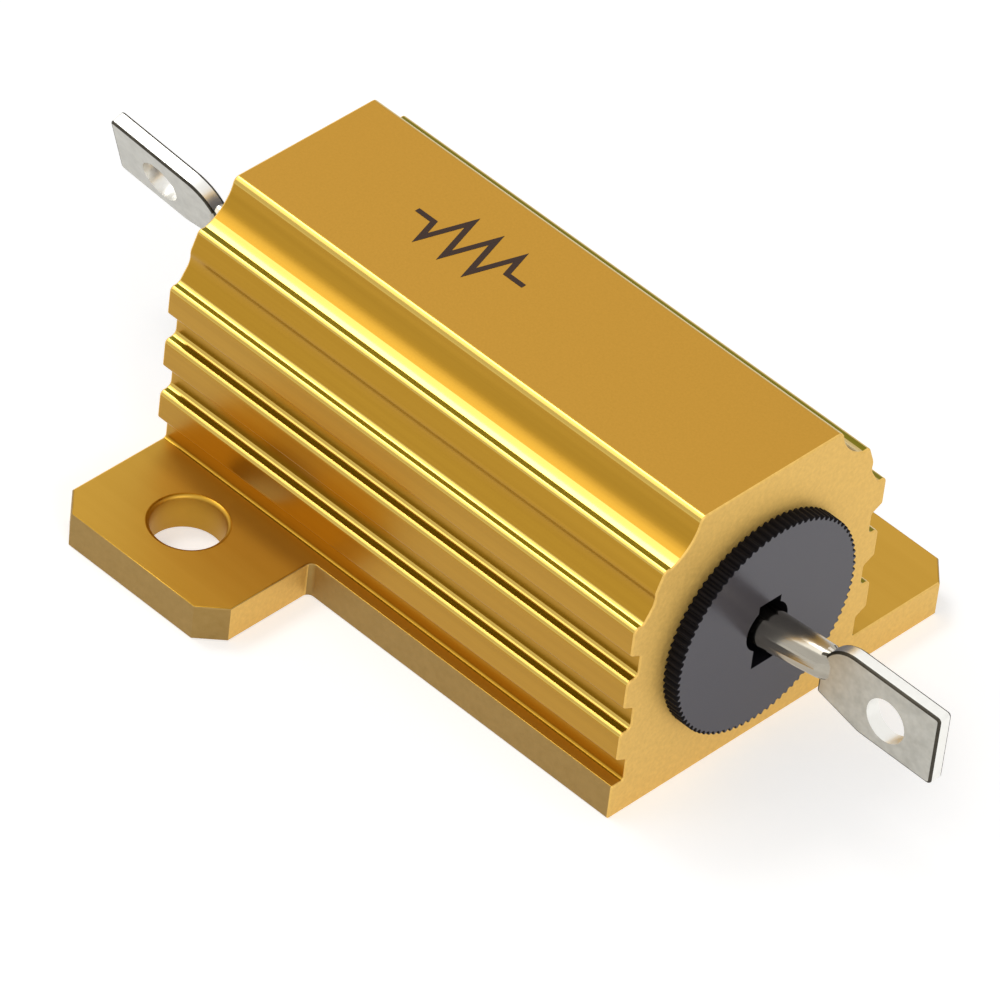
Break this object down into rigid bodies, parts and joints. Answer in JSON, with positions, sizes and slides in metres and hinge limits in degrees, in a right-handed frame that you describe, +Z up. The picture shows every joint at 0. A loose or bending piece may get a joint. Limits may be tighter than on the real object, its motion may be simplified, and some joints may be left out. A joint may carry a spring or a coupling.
{
  "type": "power resistor",
  "caption": "Aluminium housed power resistor: ribbed gold-anodised body with diagonal mounting feet, black toothed end caps and flat drilled solder lugs.",
  "frame": {"origin": "on the mounting face, under the middle of the overall box", "axes": "+X along the body to the front end, where the lug stands upright; +Y to the side of the front foot; +Z up from the mounting face"},
  "size_m": [0.0488, 0.0268, 0.0148],
  "materials": {
    "anodised_aluminium": "gold anodised extrusion with fine lengthwise die lines, matt sawn ends",
    "cap_plastic": "moulded black plastic with a dark violet-grey satin face",
    "tinned_metal": "dull bright tinned metal with pressing marks",
    "ferrule_steel": "plain pressed steel",
    "ceramic": "unglazed off-white ceramic",
    "resistance_alloy": "bare drawn resistance wire",
    "silicone": "cured dark silicone"
  },
  "bodies": {
    "root": {"housing": "anodised_aluminium", "front_end_cap": "cap_plastic", "rear_end_cap": "cap_plastic", "front_terminal": "tinned_metal", "rear_terminal": "tinned_metal", "front_ferrule": "ferrule_steel", "rear_ferrule": "ferrule_steel", "ceramic_core": "ceramic", "resistance_winding": "resistance_alloy", "silicone_filler": "silicone"}
  },
  "joints": []
}
